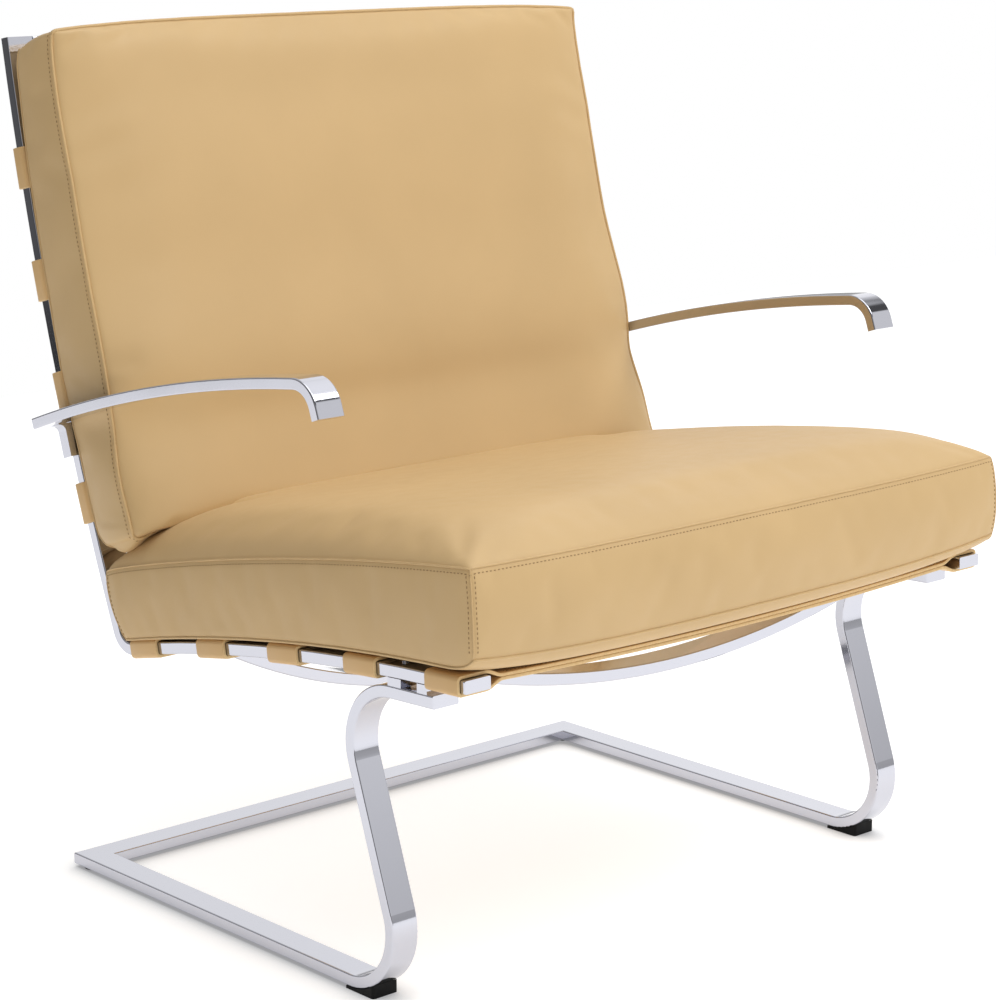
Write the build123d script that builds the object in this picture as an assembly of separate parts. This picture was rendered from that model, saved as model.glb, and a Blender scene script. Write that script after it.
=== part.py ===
from build123d import *
import os
from math import acos, asin, atan2, cos, hypot, radians, sin, sqrt, tan

# Cantilever lounge chair, in millimetres. X runs across the chair, the sitter faces -Y and Z is up.
# A side-view point is (Y, Z): Y is 0 at the rear edge of the floor frame and Z is 0 on the floor.
# Left and right are the sitter's, so left is +X.

# Flat bar that the whole frame is bent from
BAR_WIDTH = 30.0
BAR_THICK = 12.0
BAR_EDGE = 1.5  # radius of the bar's long edges
FRAME_WIDTH = 700.0  # over the outer faces of rails and runners

# Side rail, given on the middle of the bar: front end, corner of seat and back, top end
SEAT_FRONT = (-611.8, 323.8)
RAIL_CORNER = (-96.3, 252.2)
BACK_TOP = (76.3, 847.0)
SEAT_RISE = 13.5  # how far the seat rail stands above its chord
BACK_RISE = 16.9  # how far the back rail stands behind its chord
RAIL_BEND = 22.0  # bend radius at the corner, on the middle of the bar

# Floor frame: each side is one bar with a runner, a leaning leg and a tab under the seat rail
GLIDE_HEIGHT = 3.0
FOOT_Y = -531.0  # where the lines of runner and leg cross
KNEE_Y = -431.0  # where the lines of leg and tab cross
LEG_BEND = 58.0
TAB_FRONT_Y = -569.5
TAB_TILT = 1.1  # degrees that the tab opens away from the rail, towards the front

# Blocks between tab and rail, placed from the front end of the seat rail
SPACER_HEIGHT = 8.4
SPACER_CLEAR = 0.8  # from the first leather band
SPACER_FRONT_END = 64.0
SPACER_REAR_ENDS = (85.9, 104.0)
SEAT_OF_TAB = 73.0  # where the spacer height is taken

# Screws: tab to rail, and rail to arm bracket
SCREW_RADIUS = 3.0
SCREW_FIT = 0.15
HEAD_RADIUS = 5.0
HEAD_HEIGHT = 2.6
TIP_PROUD = 1.4  # how far the rear screw shows above the rail
BLIND_COVER = 3.0  # bar left over the front screw
ARM_SCREWS = (9.0, 25.0)  # below the arm, along the back rail
ARM_SCREW_BITE = 7.0

# Hanging arc bars between the seat rails, placed from the front end of the seat rail
FRONT_STRETCHER_AT = 94.0
FRONT_STRETCHER_DROP = 53.5
REAR_STRETCHER_AT = 406.0
REAR_STRETCHER_DROP = 85.0
STRETCHER_EDGE = 1.0  # chamfer of their long edges

# Armrests
ARM_WIDTH = 30.0
ARM_THICK = 11.0
ARM_GAP = 6.4  # between rail and arm, across the chair
ARM_FRONT = (-423.5, 568.6)
ARM_REAR = (-7.0, 473.1)
ARM_RISE = 12.1
ARM_TIP_BEND = 27.5
ARM_TIP_TURN = 77.0
ARM_TIP_END = 11.0
BRACKET_PROUD = 9.3
BRACKET_DEPTH = 14.0
BRACKET_LENGTH = 34.0
BRACKET_FLARE = 7.0
BRACKET_COLLAR = 1.0  # straight rim of the flare, under the arm
ARM_FIT = 0.05

# Feet
FOOT_REAR_Y = -445.0
FOOT_FRONT_Y = -484.0
FOOT_FIT = 0.2
GLIDE_RADIUS = 12.0
GLIDE_INSET = 16.0  # from the rear edge and from the outer face

# Leather bands round the rails: two layers, joined beside each rail
STRAP_LAYER = 3.3
STRAP_FIT = 0.3
STRAP_JOIN = 20.0  # from the rail to the join of the layers
SEAT_STRAPS = 5
SEAT_STRAP_WIDTH = 44.0
SEAT_STRAP_FIRST = 27.8  # middle of the first band, from the front end of the seat rail
SEAT_STRAP_PITCH = 112.4
BACK_STRAP_WIDTH = 41.0
BACK_STRAP_FIRST = 129.6  # middle of the first band, from the top end of the back rail
BACK_STRAP_OVER_ARM = 10.7  # third band to the underside of the arm
BACK_STRAP_UNDER_ARM = 27.4  # arm bracket to the fourth band

# Cushions
CUSHION_PROUD = 1.0  # past the outer faces of the rails
CUSHION_GAP = 0.3  # soft parts to what carries them
COVER_THICK = 2.5
CORE_FIT = 0.3
SIDE_DRAW = 3.0  # how far each side pulls in between its corners
CROWN_POWER = 6  # high: the crown rises close to the side seams
CROWN_ROUND = 0.6
STATIONS = (0.988, 0.96, 0.91, 0.8, 0.6, 0.3)  # shares of the half width
EDGE_ROUND = 4.0  # the outermost section is this much smaller all round

SEAT_NOSE = (-620.0, 429.4)  # front top seam at the side
SEAT_TOE = (-625.0, 349.0)
SEAT_TOE_DEPTH = 17.0
SEAT_KNEE_DEPTH = 35.0
SEAT_KNEE_DROP = 2.5
SEAT_REAR = (-75.0, 333.0)
SEAT_HEEL_Y = -110.0
SEAT_TOP_RISE = 8.5
SEAT_CROWN = (38.0, 27.0)  # at the rear and at the knee
SEAT_CROWN_RISE = 10.0
SEAT_SWELL = 4.0  # bulge of the front face
SEAT_NOSE_SINK = 3.0  # drop of the front seam towards the middle
SEAT_TAIL_BACK = 5.0  # how far the crown stops before the rear seam
SEAT_ROLL = (1.0, 6.0)  # bulge between nose and knee, and its gain with the crown
SEAT_TAIL_SWELL = 2.0
SEAT_TOE_SWELL = 3.4

BACK_HEAD = (-10.0, 857.0)  # front top seam at the side
BACK_CHIN = (-125.0, 385.0)  # where the front face turns under
BACK_LOW = (-88.0, 351.0)
BACK_TOP_DROP = 14.0  # top of the rear face below the end of the back rail
BACK_LOW_END = 435.0  # height where the rear face turns under
BACK_HEEL_SWELL = 4.0
BACK_CROWN = 26.0
BACK_CROWN_HEAD = 5.0
BACK_LIFT = 27.0  # the underside rises with the crown of the seat
BACK_CHIN_LIFT = 9.0
BACK_HEAD_LEAN = 4.0
BACK_FACE = (-9.0, 20.0)  # bulge of the front face at the side, and its gain with the crown
BACK_HEAD_SWELL = (3.0, 3.0)
BACK_FOOT_SWELL = (9.0, -7.5)


class Bow:
    """Side-view arc from start to end that stands rise off its chord, to the left of travel."""

    def __init__(self, start, end, rise):
        self.start = Vector(*start)
        self.end = Vector(*end)
        chord = self.end - self.start
        left = Vector(-chord.Y, chord.X) / chord.length
        self.radius = chord.length**2 / (8 * rise) + rise / 2
        self.centre = (self.start + self.end) / 2 + left * (rise - self.radius)

    def at(self, distance, off=0.0):
        """Point and unit direction after distance along the arc, off to the left of it."""
        spoke = self.start - self.centre
        angle = atan2(spoke.Y, spoke.X) - distance / self.radius
        out = Vector(cos(angle), sin(angle))
        return self.centre + out * (self.radius + off), Vector(out.Y, -out.X)

    def length(self):
        spoke = self.start - self.centre
        reach = self.end - self.centre
        return (atan2(spoke.Y, spoke.X) - atan2(reach.Y, reach.X)) * self.radius

    def distance_at_y(self, y):
        """Distance along an upright arc to where it passes a given Y."""
        spoke = self.start - self.centre
        return (atan2(spoke.Y, spoke.X) - acos((y - self.centre.X) / self.radius)) * self.radius

    def distance_at_z(self, z):
        """Distance along a forward-facing arc to where it passes a given Z."""
        spoke = self.start - self.centre
        return (atan2(spoke.Y, spoke.X) - asin((z - self.centre.Y) / self.radius)) * self.radius

    def edge(self, x, from_end=False):
        """The arc as an edge at x across the chair."""
        middle = self.at(self.length() / 2)[0]
        ends = (self.end, self.start) if from_end else (self.start, self.end)
        return Plane.YZ.offset(x) * ThreePointArc(ends[0], middle, ends[1])


def side(y, z, x=0.0):
    """Place of a side-view point at x."""
    return (x, y, z)


def outline(points, bows, x):
    """Closed wire at x through side-view points, clockwise; each edge bows outwards by its value."""
    edges = []
    for index, (start, bow) in enumerate(zip(points, bows)):
        end = points[(index + 1) % len(points)]
        chord = (end[0] - start[0], end[1] - start[1])
        size = hypot(*chord)
        middle = (
            (start[0] + end[0]) / 2 - chord[1] / size * bow,
            (start[1] + end[1]) / 2 + chord[0] / size * bow,
        )
        edges.append(ThreePointArc(side(*start, x), side(*middle, x), side(*end, x)))
    return Wire(edges)


def prism(points, x_low, x_high):
    """Block with a straight-sided side view between two places across the chair."""
    face = Face(Wire.make_polygon([side(*point, x_low) for point in points]))
    return Solid.extrude(face, Vector(x_high - x_low, 0, 0))


def bar_along(path, width, thick):
    """Rounded flat bar swept along a path, its width across the chair where the path starts."""
    start = path @ 0
    plane = Plane(origin=start, x_dir=(1, 0, 0), z_dir=path % 0)
    return sweep(plane * RectangleRounded(width, thick, BAR_EDGE), path=path)


def rod(point, direction, length, radius):
    """Round rod from a point along a direction."""
    return Plane(origin=point, z_dir=direction) * Cylinder(
        radius, length, align=(Align.CENTER, Align.CENTER, Align.MIN)
    )


def mirrored(part):
    return mirror(part, about=Plane.YZ)


SEAT = Bow(SEAT_FRONT, RAIL_CORNER, SEAT_RISE)
BACK = Bow(BACK_TOP, RAIL_CORNER, BACK_RISE)
RAIL_X = (FRAME_WIDTH - BAR_WIDTH) / 2
RAIL_INNER = FRAME_WIDTH / 2 - BAR_WIDTH
RUNNER_Z = GLIDE_HEIGHT + BAR_THICK / 2
SPACERS = {
    "front": (SEAT_STRAP_FIRST + SEAT_STRAP_WIDTH / 2 + SPACER_CLEAR, SPACER_FRONT_END),
    "rear": SPACER_REAR_ENDS,
}


# ---- Side rails ----


def rail_place(bow, distance, x):
    """Plane on the rail's middle line: X across the chair, Y along the rail, Z out of its bow."""
    point, direction = bow.at(distance)
    along = Vector(0, direction.X, direction.Y)
    return Plane(
        origin=side(point.X, point.Y, x), x_dir=(1, 0, 0), z_dir=Vector(1, 0, 0).cross(along)
    )


def make_rail():
    corner = side(*RAIL_CORNER, RAIL_X)
    path = Wire([SEAT.edge(RAIL_X), BACK.edge(RAIL_X, from_end=True)])
    bend = path.vertices().sort_by_distance(corner)[0]
    path = path.fillet_2d(RAIL_BEND, [bend])
    return bar_along(path, BAR_WIDTH, BAR_THICK)


# ---- Floor frame ----


def tab_line():
    """Point on the middle of the tab and its forward direction."""
    seat_point, along = SEAT.at(SEAT_OF_TAB, -BAR_THICK - SPACER_HEIGHT)
    lean = radians(TAB_TILT)
    forward = Vector(
        -along.X * cos(lean) + along.Y * sin(lean), -along.Y * cos(lean) - along.X * sin(lean)
    )
    return seat_point, forward


def tab_point(y, off=0.0):
    """Side-view point of the tab at a given Y, off above its middle line."""
    origin, forward = tab_line()
    z = origin.Y + (y - origin.X) * forward.Y / forward.X
    return (y, z + off / abs(forward.X))


def make_leg():
    knee = tab_point(KNEE_Y)
    path = FilletPolyline(
        side(0, RUNNER_Z, RAIL_X),
        side(FOOT_Y, RUNNER_Z, RAIL_X),
        side(*knee, RAIL_X),
        side(*tab_point(TAB_FRONT_Y), RAIL_X),
        radius=LEG_BEND,
    )
    return bar_along(path, BAR_WIDTH, BAR_THICK) - mitre_waste(1)


def mitre_waste(keep_side):
    """Wedge beyond the mitre of the left rear corner: 1 spares the runner, -1 the rear bar."""
    far = 2 * BAR_WIDTH
    outer = (FRAME_WIDTH / 2 + far, far)
    inner = (FRAME_WIDTH / 2 - far, -far)
    corner = (FRAME_WIDTH / 2 - keep_side * far, keep_side * far)
    face = Face(Wire.make_polygon([(*outer, 0), (*inner, 0), (*corner, 0)]))
    return Solid.extrude(face, Vector(0, 0, 2 * BAR_THICK))


def make_rear_bar():
    plane = Plane(
        origin=(-FRAME_WIDTH / 2, -BAR_WIDTH / 2, RUNNER_Z), x_dir=(0, 1, 0), z_dir=(1, 0, 0)
    )
    bar = extrude(plane * RectangleRounded(BAR_WIDTH, BAR_THICK, BAR_EDGE), FRAME_WIDTH)
    waste = mitre_waste(-1)
    return bar - waste - mirrored(waste)


def make_spacer(reach):
    """Block that fills the gap between rail and tab between two distances along the rail."""
    tops = [SEAT.at(distance, -BAR_THICK / 2)[0] for distance in reach]
    points = [(top.X, top.Y) for top in tops]
    points += [tab_point(top.X, BAR_THICK / 2) for top in reversed(tops)]
    return prism(points, RAIL_INNER, FRAME_WIDTH / 2)


# ---- Stretchers and top bar ----


def make_stretcher(at, drop):
    """Bar that hangs in an arc between the inner faces of the seat rails."""
    seat_point = SEAT.at(at)[0]
    radius = RAIL_INNER**2 / (2 * drop) + drop / 2
    centre_z = seat_point.Y - drop + radius
    front = seat_point.X - BAR_WIDTH / 2

    def arc(reach):
        tip = centre_z - sqrt(reach**2 - RAIL_INNER**2)
        low = (0, front, centre_z - reach)
        return [(-RAIL_INNER, front, tip), low, (RAIL_INNER, front, tip)]

    under = arc(radius + BAR_THICK / 2)
    over = arc(radius - BAR_THICK / 2)
    face = make_face(
        [
            ThreePointArc(*under),
            Line(under[2], over[2]),
            ThreePointArc(*over),
            Line(over[0], under[0]),
        ]
    )
    bar = extrude(face, BAR_WIDTH, dir=(0, 1, 0))
    return chamfer(bar.edges().filter_by(GeomType.CIRCLE), STRETCHER_EDGE)


def make_top_bar():
    place = rail_place(BACK, BAR_WIDTH / 2, -RAIL_INNER)
    plane = Plane(origin=place.origin, x_dir=place.y_dir, z_dir=(1, 0, 0))
    return extrude(plane * RectangleRounded(BAR_WIDTH, BAR_THICK, BAR_EDGE), 2 * RAIL_INNER)


# ---- Armrests ----

ARM = Bow(ARM_FRONT, ARM_REAR, ARM_RISE)
ARM_X = FRAME_WIDTH / 2 + ARM_GAP + ARM_WIDTH / 2


def make_arm():
    ahead = ARM.at(0)[1] * -1
    tip = JernArc(ARM_FRONT, (ahead.X, ahead.Y), ARM_TIP_BEND, ARM_TIP_TURN)
    end = Line(tip @ 1, tip @ 1 + (tip % 1) * ARM_TIP_END)
    at = Plane.YZ.offset(ARM_X)
    path = Wire([ARM.edge(ARM_X, from_end=True), at * tip, at * end])
    return bar_along(path, ARM_WIDTH, ARM_THICK)


def under_arm(y):
    """Plane on the underside of the arm at a given Y, facing down."""
    point, direction = ARM.at(ARM.distance_at_y(y), -ARM_THICK / 2 - ARM_FIT)
    return Plane(origin=side(point.X, point.Y), z_dir=(0, direction.Y, -direction.X))


def bracket_place():
    """Plane beside the back rail, level with the arm's underside: X outwards, Y up the rail."""
    place = rail_place(BACK, BACK.distance_at_z(ARM_REAR[1]), FRAME_WIDTH / 2)
    for _ in range(4):
        underside = under_arm(place.origin.Y).origin.Z
        place = rail_place(BACK, BACK.distance_at_z(underside), FRAME_WIDTH / 2)
    return Plane(origin=place.origin, x_dir=(1, 0, 0), z_dir=place.z_dir * -1)


def make_bracket():
    spare = BRACKET_DEPTH
    proud = BRACKET_PROUD
    rim = proud + BRACKET_FLARE
    block = Polygon(
        (0, -BRACKET_LENGTH), (proud, -BRACKET_LENGTH), (proud, spare), (0, spare), align=None
    )
    flare = Polygon(
        (proud, -BRACKET_COLLAR - BRACKET_FLARE),
        (rim, -BRACKET_COLLAR - BRACKET_FLARE),
        (rim, spare),
        (proud, spare),
        align=None,
    )
    scoop = Pos(rim, -BRACKET_COLLAR - BRACKET_FLARE) * Circle(BRACKET_FLARE)
    profile = block + (flare - scoop)
    place = bracket_place()
    block = extrude(place * profile, BRACKET_DEPTH / 2, both=True)
    return split(block, bisect_by=under_arm(place.origin.Y), keep=Keep.TOP)


# ---- Screws ----


def frame_screw_lines():
    """Start under the tab, direction and shank length of the screws of one side."""
    lines = []
    for name, reach in SPACERS.items():
        rail_top = SEAT.at(sum(reach) / 2, BAR_THICK / 2)[0]
        start = tab_point(rail_top.X, -BAR_THICK / 2)
        forward = tab_line()[1]
        up = Vector(0, forward.Y, -forward.X)
        through = (rail_top.Y - start[1]) * up.Z
        past = TIP_PROUD if name == "rear" else -BLIND_COVER
        lines.append((Vector(*side(*start, RAIL_X)), up, through + past))
    return lines


def arm_screw_lines():
    """Start at the inner face of the rail, direction and length of the screws of one arm."""
    place = bracket_place()
    up = place.y_dir
    length = BAR_WIDTH + ARM_SCREW_BITE
    inner = Vector(RAIL_INNER, place.origin.Y, place.origin.Z)
    return [(inner - up * below, Vector(1, 0, 0), length) for below in ARM_SCREWS]


def screw(line):
    """Screw with a low round head seated on the face where its line starts."""
    start, direction, length = line
    shank = rod(start, direction, length, SCREW_RADIUS)
    head = rod(start, direction * -1, HEAD_HEIGHT, HEAD_RADIUS)
    far = start - direction * HEAD_HEIGHT
    rim = head.edges().filter_by(GeomType.CIRCLE).sort_by_distance(far)[0]
    return shank + fillet(rim, HEAD_HEIGHT * 0.6)


def drilled(part, lines):
    for start, direction, length in lines:
        part -= rod(start, direction, length + SCREW_FIT, SCREW_RADIUS + SCREW_FIT)
    return part


# ---- Feet ----


def make_front_foot():
    """Wedge between the floor and the bend of the runner."""
    bend_z = RUNNER_Z + LEG_BEND
    lean = tab_point(KNEE_Y)
    turn = atan2(lean[1] - RUNNER_Z, KNEE_Y - FOOT_Y)
    bend_y = FOOT_Y + LEG_BEND / tan(turn / 2)
    shell = LEG_BEND + BAR_THICK / 2 + FOOT_FIT

    def under_bend(y):
        return (y, bend_z - sqrt(shell**2 - (y - bend_y) ** 2))

    middle_y = (bend_y + FOOT_FRONT_Y) / 2
    face = make_face(
        [
            Line(side(FOOT_REAR_Y, 0), side(FOOT_FRONT_Y, 0)),
            Line(side(FOOT_FRONT_Y, 0), side(*under_bend(FOOT_FRONT_Y))),
            ThreePointArc(
                side(*under_bend(FOOT_FRONT_Y)), side(*under_bend(middle_y)), side(*under_bend(bend_y))
            ),
            Line(side(*under_bend(bend_y)), side(FOOT_REAR_Y, GLIDE_HEIGHT - FOOT_FIT)),
            Line(side(FOOT_REAR_Y, GLIDE_HEIGHT - FOOT_FIT), side(FOOT_REAR_Y, 0)),
        ]
    )
    foot = Pos(RAIL_INNER, 0, 0) * extrude(face, BAR_WIDTH, dir=(1, 0, 0))
    front = foot.edges().filter_by(Axis.Z).sort_by(Axis.Y)[:2]
    return fillet(front, BAR_EDGE * 2)


def make_rear_glide():
    place = Pos(FRAME_WIDTH / 2 - GLIDE_INSET, -GLIDE_INSET, GLIDE_HEIGHT / 2)
    return place * Cylinder(GLIDE_RADIUS, GLIDE_HEIGHT)


# ---- Leather bands ----


def make_strap(place, width):
    """Band round both rails: its layers meet beside each rail and run on together."""
    half_rail = BAR_THICK / 2 + STRAP_FIT
    outer = half_rail + STRAP_LAYER
    end = FRAME_WIDTH / 2 + STRAP_FIT
    join = RAIL_INNER - STRAP_JOIN
    near = RAIL_INNER - STRAP_FIT
    corner = BAR_EDGE + STRAP_FIT
    upper = [(-join, STRAP_LAYER), (join, STRAP_LAYER), (near, outer)]
    right = [(end + STRAP_LAYER, outer), (end + STRAP_LAYER, -outer)]
    lower = [(near, -outer), (join, -STRAP_LAYER), (-join, -STRAP_LAYER), (-near, -outer)]
    left = [(-end - STRAP_LAYER, -outer), (-end - STRAP_LAYER, outer), (-near, outer)]
    band = Polygon(*upper, *right, *lower, *left, align=None)
    ends = band.vertices().filter_by(lambda v: abs(v.X) > end)
    band = fillet(ends, corner + STRAP_LAYER)
    for sign in (1, -1):
        loop = [(near, half_rail), (end, half_rail), (end, -half_rail), (near, -half_rail)]
        loop = [(sign * x, z) for x, z in [*loop, (join + 2 * STRAP_LAYER, 0)]]
        hole = Polygon(*loop, align=None)
        far = hole.vertices().filter_by(lambda v: abs(abs(v.X) - end) < STRAP_FIT)
        band -= fillet(far, corner)
    section = Plane(origin=place.origin, x_dir=(1, 0, 0), z_dir=place.y_dir)
    return extrude(section * band, width / 2, both=True)


def seat_strap_places():
    places = []
    for index in range(SEAT_STRAPS):
        places.append(rail_place(SEAT, SEAT_STRAP_FIRST + index * SEAT_STRAP_PITCH, 0))
    return places


def back_strap_places():
    """Three bands above the arms, evenly spaced, and one below the arm brackets."""
    arm = BACK.distance_at_z(bracket_place().origin.Z)
    third = arm - BACK_STRAP_OVER_ARM - BACK_STRAP_WIDTH / 2
    fourth = arm + BRACKET_LENGTH + BACK_STRAP_UNDER_ARM + BACK_STRAP_WIDTH / 2
    second = (BACK_STRAP_FIRST + third) / 2
    return [rail_place(BACK, at, 0) for at in (BACK_STRAP_FIRST, second, third, fourth)]


# ---- Cushions ----

HALF = FRAME_WIDTH / 2 + CUSHION_PROUD
ON_RAIL = BAR_THICK / 2 + STRAP_FIT + STRAP_LAYER + CUSHION_GAP


def crown(share):
    """Height of the crown at a share of the half width, from 0 at the side to 1 inside."""
    return (1 - share**CROWN_POWER) ** CROWN_ROUND


def sag(bow, off, start, end):
    """How far an arc beside the rail stands off its chord."""
    chord = hypot(end[0] - start[0], end[1] - start[1])
    radius = bow.radius + off
    return radius - sqrt(radius**2 - chord**2 / 4)


def seat_section(share, inset, x):
    """Seat cushion across the chair at x, clockwise from the toe."""
    rise = crown(share)
    off = ON_RAIL + inset
    toe = (SEAT_TOE[0] + inset, SEAT_TOE[1] + inset)
    nose = (SEAT_NOSE[0] + inset, SEAT_NOSE[1] - inset - SEAT_NOSE_SINK * rise)
    knee = (nose[0] + SEAT_KNEE_DEPTH, SEAT_NOSE[1] - SEAT_KNEE_DROP - inset + SEAT_CROWN[1] * rise)
    rear = (
        SEAT_REAR[0] - inset - SEAT_TAIL_BACK * rise,
        SEAT_REAR[1] - inset + SEAT_CROWN[0] * rise,
    )
    heel = SEAT.at(SEAT.distance_at_y(SEAT_HEEL_Y - inset), off)[0]
    sole = SEAT.at(SEAT.distance_at_y(SEAT_TOE[0] + SEAT_TOE_DEPTH + inset), off)[0]
    heel = (heel.X, heel.Y)
    sole = (sole.X, sole.Y)
    bows = [
        SEAT_SWELL + SEAT_SWELL * rise,
        SEAT_ROLL[0] + SEAT_ROLL[1] * rise,
        SEAT_TOP_RISE + SEAT_CROWN_RISE * rise,
        SEAT_TAIL_SWELL,
        -sag(SEAT, off, heel, sole),
        SEAT_TOE_SWELL,
    ]
    return outline([toe, nose, knee, rear, heel, sole], bows, x)


def back_section(share, inset, x):
    """Back cushion across the chair at x, clockwise from the chin."""
    rise = crown(share)
    off = ON_RAIL + inset
    lift = BACK_LIFT * rise
    chin = (
        BACK_CHIN[0] - BACK_CROWN * rise + inset,
        BACK_CHIN[1] + BACK_CHIN_LIFT * rise + inset,
    )
    head = (
        BACK_HEAD[0] - BACK_HEAD_LEAN * rise + inset,
        BACK_HEAD[1] + BACK_CROWN_HEAD * rise - inset,
    )
    top = BACK.at(BACK_TOP_DROP + inset, -off)[0]
    low = BACK.at(BACK.distance_at_z(BACK_LOW_END + inset), -off)[0]
    seat = (BACK_LOW[0], BACK_LOW[1] + lift + inset)
    top = (top.X, top.Y)
    low = (low.X, low.Y)
    bows = [
        BACK_FACE[0] + BACK_FACE[1] * rise,
        BACK_HEAD_SWELL[0] + BACK_HEAD_SWELL[1] * rise,
        sag(BACK, -off, top, low),
        BACK_HEEL_SWELL,
        BACK_FOOT_SWELL[0] + BACK_FOOT_SWELL[1] * rise,
    ]
    return outline([chin, head, top, low, seat], bows, x)


def cushion(section, inset):
    """Loft through the sections from side to side."""
    side_shares = [1.0, *STATIONS]
    wires = []
    for share in [*side_shares, 0.0, *[-share for share in reversed(side_shares)]]:
        depth = inset + (EDGE_ROUND if abs(share) == 1.0 else 0.0)
        wires.append(section(abs(share), depth, share * (HALF - inset)))
    return Solid.make_loft(wires, ruled=True)


def drawn_in(body, plane, length, inset):
    """Cushion with each side pulled in between its corners, along a plane's Y direction."""
    half = HALF - inset
    reach = 0.6 * length
    past = SIDE_DRAW * (reach / (length / 2)) ** 2 - SIDE_DRAW
    waste = make_face(
        [
            ThreePointArc((half + past, -reach), (half - SIDE_DRAW, 0), (half + past, reach)),
            Line((half + past, reach), (half + 2 * SIDE_DRAW, reach)),
            Line((half + 2 * SIDE_DRAW, reach), (half + 2 * SIDE_DRAW, -reach)),
            Line((half + 2 * SIDE_DRAW, -reach), (half + past, -reach)),
        ]
    )
    cut = extrude(plane * waste, length, both=True)
    return body - cut - mirrored(cut)


def make_cushion(section, plane, length):
    """Cover and foam core of one cushion."""
    outer = drawn_in(cushion(section, 0), plane, length, 0)
    lining = drawn_in(cushion(section, COVER_THICK), plane, length, COVER_THICK)
    core_inset = COVER_THICK + CORE_FIT
    core = drawn_in(cushion(section, core_inset), plane, length, core_inset)
    return outer - lining, core


# ---- Assembly ----


def build():
    nodes = {}

    def pair(name, part):
        nodes[name + "_left"] = part
        nodes[name + "_right"] = mirrored(part)

    frame_lines = frame_screw_lines()
    arm_lines = arm_screw_lines()
    pair("side_rail", drilled(make_rail(), frame_lines + arm_lines))
    pair("leg", drilled(make_leg(), frame_lines))
    for name, reach in SPACERS.items():
        pair("spacer_" + name, drilled(make_spacer(reach), frame_lines))
    pair("armrest", make_arm())
    pair("arm_bracket", drilled(make_bracket(), arm_lines))
    pair("front_foot", make_front_foot())
    pair("rear_glide", make_rear_glide())
    nodes["rear_floor_bar"] = make_rear_bar()
    nodes["back_top_bar"] = make_top_bar()
    nodes["front_stretcher"] = make_stretcher(FRONT_STRETCHER_AT, FRONT_STRETCHER_DROP)
    nodes["rear_stretcher"] = make_stretcher(REAR_STRETCHER_AT, REAR_STRETCHER_DROP)
    for name, lines in (("frame_screws", frame_lines), ("arm_screws", arm_lines)):
        left = [screw(line) for line in lines]
        nodes[name] = Compound(children=left + [mirrored(part) for part in left])
    for number, place in enumerate(seat_strap_places(), 1):
        nodes[f"seat_strap_{number}"] = make_strap(place, SEAT_STRAP_WIDTH)
    for number, place in enumerate(back_strap_places(), 1):
        nodes[f"back_strap_{number}"] = make_strap(place, BACK_STRAP_WIDTH)
    seat_middle = (SEAT_TOE[0] + SEAT_REAR[0]) / 2
    seat_plane = Plane(origin=(0, seat_middle, SEAT_REAR[1]), x_dir=(1, 0, 0), z_dir=(0, 0, 1))
    nodes["seat_cover"], nodes["seat_foam"] = make_cushion(
        seat_section, seat_plane, SEAT_REAR[0] - SEAT_TOE[0]
    )
    back_middle = (BACK_HEAD[1] + BACK_LOW[1]) / 2
    back_plane = Plane(origin=(0, 0, back_middle), x_dir=(1, 0, 0), z_dir=(0, -1, 0))
    nodes["back_cover"], nodes["back_foam"] = make_cushion(
        back_section, back_plane, BACK_HEAD[1] - BACK_LOW[1]
    )
    return nodes


def main():
    nodes = build()
    boxes = [part.bounding_box() for part in nodes.values()]
    front = min(box.min.Y for box in boxes)
    rear = max(box.max.Y for box in boxes)
    # The origin is on the floor, in the middle of the chair's box.
    centred = Pos(0, -(front + rear) / 2, 0)
    print("Y of the side view's zero in the part's frame:", -(front + rear) / 2)
    os.makedirs("parts", exist_ok=True)
    for name, part in nodes.items():
        placed = centred * part
        placed.label = name
        export_step(placed, f"parts/{name}.step")


main()
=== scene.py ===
import math

import bpy
import numpy as np
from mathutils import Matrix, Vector
from mathutils.bvhtree import BVHTree


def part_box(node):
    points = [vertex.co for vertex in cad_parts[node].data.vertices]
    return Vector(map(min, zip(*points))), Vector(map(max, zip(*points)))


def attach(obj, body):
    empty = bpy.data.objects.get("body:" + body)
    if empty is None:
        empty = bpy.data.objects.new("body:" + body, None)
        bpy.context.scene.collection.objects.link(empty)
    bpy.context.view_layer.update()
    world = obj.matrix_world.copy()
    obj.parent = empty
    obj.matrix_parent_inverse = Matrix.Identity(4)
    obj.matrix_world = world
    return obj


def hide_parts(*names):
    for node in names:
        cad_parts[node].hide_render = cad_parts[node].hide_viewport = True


# Side-view points are (Y, Z) in millimetres from the rear edge of the floor frame, as in the CAD.
MM = 0.001
ZERO_Y = 0.27424  # that edge in the shared frame, in metres

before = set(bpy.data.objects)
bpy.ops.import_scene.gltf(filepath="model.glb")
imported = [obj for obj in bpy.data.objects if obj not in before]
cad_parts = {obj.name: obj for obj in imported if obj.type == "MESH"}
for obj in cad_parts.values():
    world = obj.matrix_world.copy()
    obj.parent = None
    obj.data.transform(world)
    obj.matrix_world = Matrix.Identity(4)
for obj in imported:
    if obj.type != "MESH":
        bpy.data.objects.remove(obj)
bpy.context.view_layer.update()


def place(x, y, z):
    return Vector((x * MM, y * MM + ZERO_Y, z * MM))


# ---- Materials ----

# Most of a noise lies between these values.
NOISE_LOW, NOISE_HIGH = 0.3, 0.7
LEATHER_ROUGH_SPAN = 0.08


def material(name, **sockets):
    mat = bpy.data.materials.new(name)
    mat.use_nodes = True
    shader = mat.node_tree.nodes["Principled BSDF"]
    for key, value in sockets.items():
        shader.inputs[key.replace("_", " ")].default_value = value
    return mat


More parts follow.
